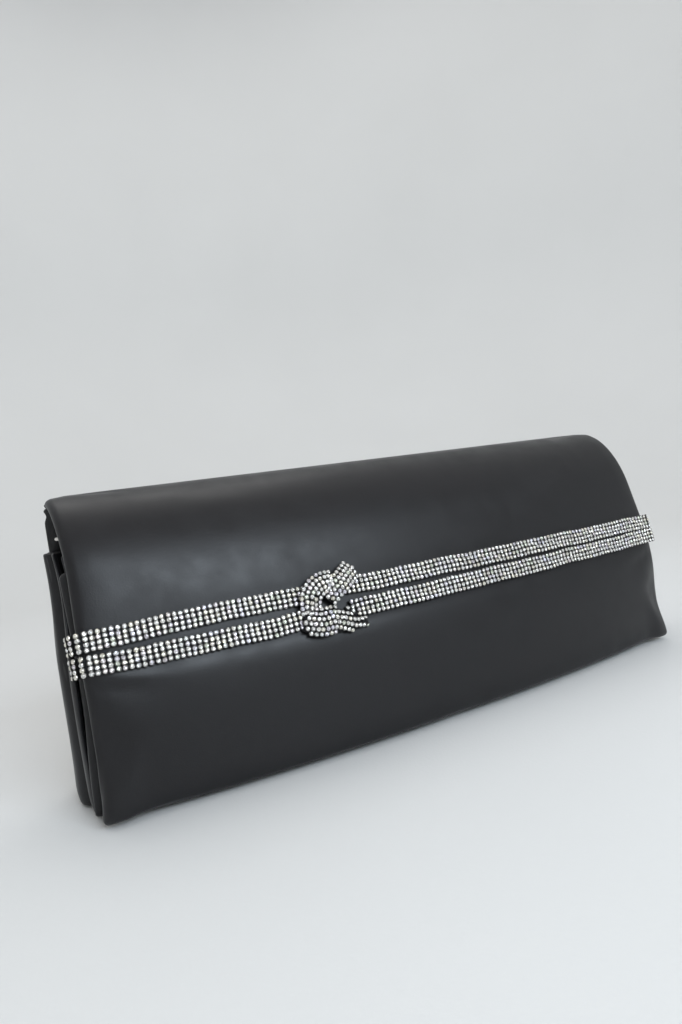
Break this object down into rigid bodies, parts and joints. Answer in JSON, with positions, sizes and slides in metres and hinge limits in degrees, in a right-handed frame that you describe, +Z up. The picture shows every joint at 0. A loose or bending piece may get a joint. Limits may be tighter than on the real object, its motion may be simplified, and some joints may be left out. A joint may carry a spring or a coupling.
{
  "type": "evening bag",
  "caption": "Slim evening bag with a padded fold-over flap, pleated ends, magnetic closing and a knotted crystal band across the front.",
  "frame": {"origin": "under the middle of the bag's box, on the surface that it stands on", "axes": "+X along the bag's length, -Y towards the flap's front, +Z up"},
  "size_m": [0.285, 0.0594, 0.11],
  "materials": {
    "leather": "smooth satin",
    "lining": "fine satin weave",
    "board": "matt",
    "foam": "matt",
    "crystal": "faceted clear stones in dark metal cups",
    "nickel": "polished"
  },
  "bodies": {
    "shell": {"base_panel": "leather", "base_board": "board", "base_lining": "lining", "back_panel": "leather", "back_board": "board", "back_lining": "lining", "back_facing": "leather", "right_gusset": "leather", "left_gusset": "leather", "right_gusset_lining": "lining", "left_gusset_lining": "lining", "slip_pocket": "lining", "slip_pocket_hem": "leather", "right_ring_tab": "leather", "left_ring_tab": "leather"},
    "front_wall": {"front_panel": "leather", "front_board": "board", "front_lining": "lining", "front_facing": "leather", "left_snap_female": "nickel", "right_snap_female": "nickel", "left_wall_washer": "nickel", "right_wall_washer": "nickel"},
    "flap": {"flap_skin": "leather", "flap_foam": "foam", "flap_board": "board", "flap_lining": "lining", "left_snap_male": "nickel", "right_snap_male": "nickel", "left_flap_washer": "nickel", "right_flap_washer": "nickel", "crystal_left_upper": "crystal", "crystal_left_lower": "crystal", "crystal_right_upper": "crystal", "crystal_right_lower": "crystal", "knot_loop": "crystal", "knot_upper_tail": "crystal", "knot_lower_tail": "crystal"},
    "left_ring": {"left_d_ring": "nickel"},
    "right_ring": {"right_d_ring": "nickel"}
  },
  "joints": [
    {"name": "flap_fold", "type": "hinge", "parent": "shell", "child": "flap", "pos_m": [0, 0.0269, 0.1029], "axis": [-1, 0, 0], "range_deg": [0, 180]},
    {"name": "front_wall_lean", "type": "hinge", "parent": "shell", "child": "front_wall", "pos_m": [0, -0.013, 0.005], "axis": [1, 0, 0], "range_deg": [0, 10]},
    {"name": "left_ring_swing", "type": "hinge", "parent": "shell", "child": "left_ring", "pos_m": [-0.13, 0.015, 0.0946], "axis": [0, 1, 0], "range_deg": [0, 150]},
    {"name": "right_ring_swing", "type": "hinge", "parent": "shell", "child": "right_ring", "pos_m": [0.13, 0.015, 0.0946], "axis": [0, -1, 0], "range_deg": [0, 150]}
  ],
  "couplings": [
    {"joint": "front_wall_lean", "follows": "flap_fold", "ratio": 0.0555}
  ]
}
